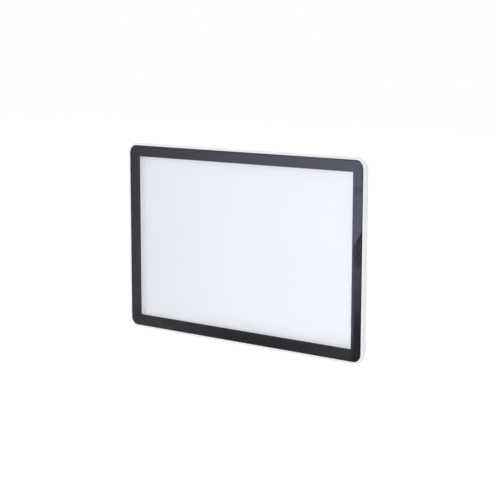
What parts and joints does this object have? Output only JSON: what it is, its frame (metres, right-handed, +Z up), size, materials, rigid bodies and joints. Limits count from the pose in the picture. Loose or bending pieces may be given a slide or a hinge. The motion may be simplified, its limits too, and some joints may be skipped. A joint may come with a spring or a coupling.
{
  "type": "outdoor wall light",
  "caption": "Slim glass-fronted edge-lit wall light that hooks on a wall bracket and swings out for wiring.",
  "frame": {"origin": "centre of the wall bracket's back face, on the wall", "axes": "+Y into the wall, +Z up, +X to the right as seen by someone facing the light"},
  "size_m": [0.3, 0.0388, 0.2],
  "materials": {
    "powder_coat_white": "white satin powder coat on cast aluminium",
    "galvanised_steel": "zinc-plated pressed steel",
    "stainless_steel": "plain stainless steel",
    "rubber_black": "black moulded rubber",
    "silicone_black": "black silicone, satin",
    "toughened_glass": "clear, polished",
    "ceramic_border": "black print fired onto the glass",
    "opal_sheet": "white diffusing sheet, satin",
    "clear_acrylic": "clear, polished edges",
    "white_film": "white reflecting film",
    "foam_grey": "soft foam pad",
    "bare_aluminium": "folded bare sheet",
    "circuit_board_white": "white solder mask",
    "circuit_board_green": "green solder mask",
    "led_phosphor": "yellow phosphor in a white body",
    "driver_plastic": "black fire-retardant plastic",
    "component_black": "moulded components",
    "terminal_grey": "grey polyamide",
    "lever_orange": "orange polyamide",
    "brass": "plain brass",
    "vent_grey": "grey moulded plastic",
    "membrane_white": "breathable white film",
    "lead_brown": "brown insulation",
    "lead_blue": "blue insulation",
    "lead_green_yellow": "green and yellow insulation",
    "lead_white": "white insulation"
  },
  "bodies": {
    "wall_bracket": {"wall_bracket": "galvanised_steel", "bracket_bush": "rubber_black"},
    "lamp": {"back_box": "powder_coat_white", "hinge_pins": "stainless_steel", "cable_grommet": "rubber_black", "vent_plug": "vent_grey", "vent_seal": "rubber_black", "vent_membrane": "membrane_white", "driver_case": "driver_plastic", "driver_cover": "driver_plastic", "driver_board": "circuit_board_green", "driver_components": "component_black", "driver_screws": "stainless_steel", "terminal_block": "terminal_grey", "terminal_contacts": "brass", "earth_stud": "brass", "earth_tag": "brass", "earth_nut": "brass", "live_lead": "lead_brown", "neutral_lead": "lead_blue", "earth_lead": "lead_green_yellow", "led_leads": "lead_white", "heat_tray": "bare_aluminium", "led_strip_top": "circuit_board_white", "led_strip_bottom": "circuit_board_white", "led_chips_top": "led_phosphor", "led_chips_bottom": "led_phosphor", "reflector_sheet": "white_film", "light_guide": "clear_acrylic", "guide_pads": "foam_grey", "diffuser_sheet": "opal_sheet", "front_frame": "powder_coat_white", "frame_seal": "rubber_black", "frame_screws": "stainless_steel", "glass_gasket": "silicone_black", "border_print": "ceramic_border", "glass_pane": "toughened_glass"},
    "lock_screw_left": {"lock_screw_left": "stainless_steel"},
    "lock_screw_right": {"lock_screw_right": "stainless_steel"},
    "lever_live": {"lever_live": "lever_orange"},
    "lever_neutral": {"lever_neutral": "lever_orange"},
    "lever_earth": {"lever_earth": "lever_orange"}
  },
  "joints": [
    {"name": "swing_out", "type": "hinge", "parent": "wall_bracket", "child": "lamp", "pos_m": [0, -0.004, 0.073], "axis": [-1, 0, 0], "range_deg": [0, 45]},
    {"name": "lock_screw_left_travel", "type": "slide", "parent": "lamp", "child": "lock_screw_left", "axis": [0, 0, -1], "range_m": [0, 0.004]},
    {"name": "lock_screw_right_travel", "type": "slide", "parent": "lamp", "child": "lock_screw_right", "axis": [0, 0, -1], "range_m": [0, 0.004]},
    {"name": "lever_live_open", "type": "hinge", "parent": "lamp", "child": "lever_live", "pos_m": [-0.0765, -0.0164, 0.0325], "axis": [-1, 0, 0], "range_deg": [0, 85]},
    {"name": "lever_neutral_open", "type": "hinge", "parent": "lamp", "child": "lever_neutral", "pos_m": [-0.07, -0.0164, 0.0325], "axis": [-1, 0, 0], "range_deg": [0, 85]},
    {"name": "lever_earth_open", "type": "hinge", "parent": "lamp", "child": "lever_earth", "pos_m": [-0.0635, -0.0164, 0.0325], "axis": [-1, 0, 0], "range_deg": [0, 85]}
  ]
}
